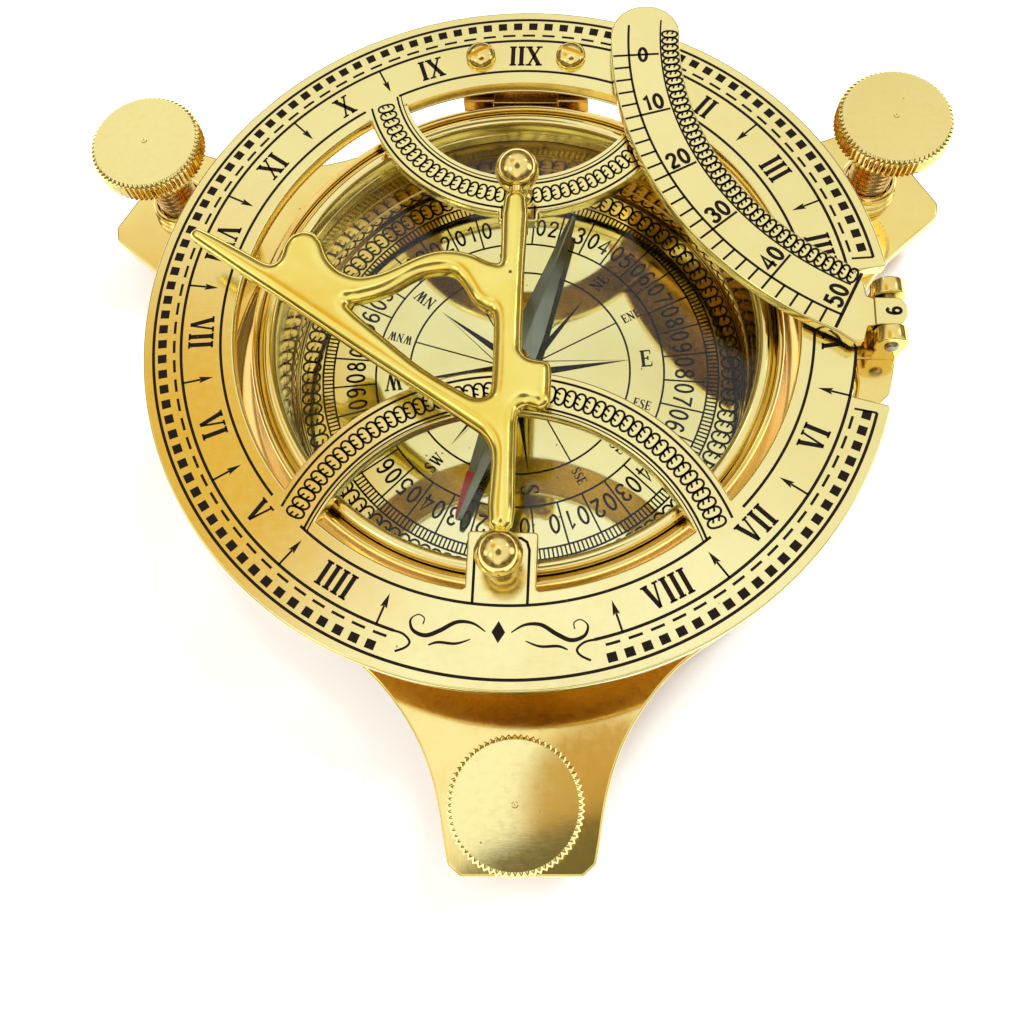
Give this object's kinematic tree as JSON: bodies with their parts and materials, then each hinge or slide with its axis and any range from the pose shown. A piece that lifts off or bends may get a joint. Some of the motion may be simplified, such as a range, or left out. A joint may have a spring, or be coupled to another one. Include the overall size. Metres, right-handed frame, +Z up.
{
  "type": "sundial compass",
  "caption": "Folding brass equatorial sundial compass with hinged hour ring, folding gnomon and latitude arc, and three levelling thumbscrews.",
  "frame": {"origin": "middle of the base plate's underside, on the dial's axis", "axes": "+Z up out of the dial, +Y along the noon line towards XII and the ring's hinge (north), +X east towards the latitude arc's hinge"},
  "size_m": [0.1338, 0.1239, 0.0393],
  "materials": {
    "polished_brass": "polished, slightly tarnished",
    "engraved_brass": "polished plate with engraved lines filled black",
    "cast_brass": "cast, polished over soft edges",
    "dark_brass": "turned, darker in the recesses",
    "steel": "plain drawn pin",
    "needle_steel": "tempered steel, grey-green",
    "glass": "clear flat glass"
  },
  "bodies": {
    "base": {"base_plate": "polished_brass", "levelling_bush_S": "dark_brass", "levelling_bush_NE": "dark_brass", "levelling_bush_NW": "dark_brass", "base_screw_1": "dark_brass", "base_screw_2": "dark_brass", "base_screw_3": "dark_brass", "compass_bowl": "polished_brass", "compass_dial": "engraved_brass", "needle_pivot": "steel", "cover_glass": "glass", "glass_retaining_ring": "polished_brass", "ring_hinge_leaf_lower": "dark_brass", "ring_hinge_pin": "steel"},
    "needle": {"compass_needle": "needle_steel", "needle_cap": "polished_brass"},
    "ring": {"hour_ring": "engraved_brass", "ring_hinge_leaf_upper": "dark_brass", "hinge_screw_W": "polished_brass", "hinge_screw_E": "polished_brass", "gnomon_post_N": "polished_brass", "gnomon_post_S": "polished_brass", "arc_bracket": "dark_brass", "arc_hinge_pin": "steel"},
    "gnomon": {"gnomon": "cast_brass"},
    "arc": {"latitude_arc": "engraved_brass"},
    "foot_S": {"levelling_foot_S": "dark_brass"},
    "screw_S": {"thumbscrew_S": "polished_brass"},
    "foot_NE": {"levelling_foot_NE": "dark_brass"},
    "screw_NE": {"thumbscrew_NE": "polished_brass"},
    "foot_NW": {"levelling_foot_NW": "dark_brass"},
    "screw_NW": {"thumbscrew_NW": "polished_brass"}
  },
  "joints": [
    {"name": "ring_tilt", "type": "hinge", "parent": "base", "child": "ring", "pos_m": [0, 0.0455, 0.0179], "axis": [-1, 0, 0], "range_deg": [0, 75]},
    {"name": "gnomon_fold", "type": "hinge", "parent": "ring", "child": "gnomon", "pos_m": [0, 0, 0.0293], "axis": [0, 1, 0], "range_deg": [0, 90]},
    {"name": "arc_fold", "type": "hinge", "parent": "ring", "child": "arc", "pos_m": [0.0496, 0, 0.0251], "axis": [0, 1, 0], "range_deg": [0, 90]},
    {"name": "needle_spin", "type": "hinge", "parent": "base", "child": "needle", "pos_m": [0, 0, 0.0088], "axis": [0, 0, 1], "continuous": true},
    {"name": "level_S", "type": "slide", "parent": "base", "child": "foot_S", "axis": [0, 0, 1], "range_m": [-0.00301, 0.00301]},
    {"name": "spin_S", "type": "hinge", "parent": "foot_S", "child": "screw_S", "pos_m": [0.00279, -0.06394, 0], "axis": [0, 0, 1], "range_deg": [-1080, 1080]},
    {"name": "level_NE", "type": "slide", "parent": "base", "child": "foot_NE", "axis": [0, 0, 1], "range_m": [-0.00301, 0.00301]},
    {"name": "spin_NE", "type": "hinge", "parent": "foot_NE", "child": "screw_NE", "pos_m": [0.05398, 0.03439, 0], "axis": [0, 0, 1], "range_deg": [-1080, 1080]},
    {"name": "level_NW", "type": "slide", "parent": "base", "child": "foot_NW", "axis": [0, 0, 1], "range_m": [-0.00301, 0.00301]},
    {"name": "spin_NW", "type": "hinge", "parent": "foot_NW", "child": "screw_NW", "pos_m": [-0.05677, 0.02955, 0], "axis": [0, 0, 1], "range_deg": [-1080, 1080]}
  ],
  "couplings": [
    {"joint": "level_S", "follows": "spin_S", "m_per_rad": 0.00015915},
    {"joint": "level_NE", "follows": "spin_NE", "m_per_rad": 0.00015915},
    {"joint": "level_NW", "follows": "spin_NW", "m_per_rad": 0.00015915}
  ]
}
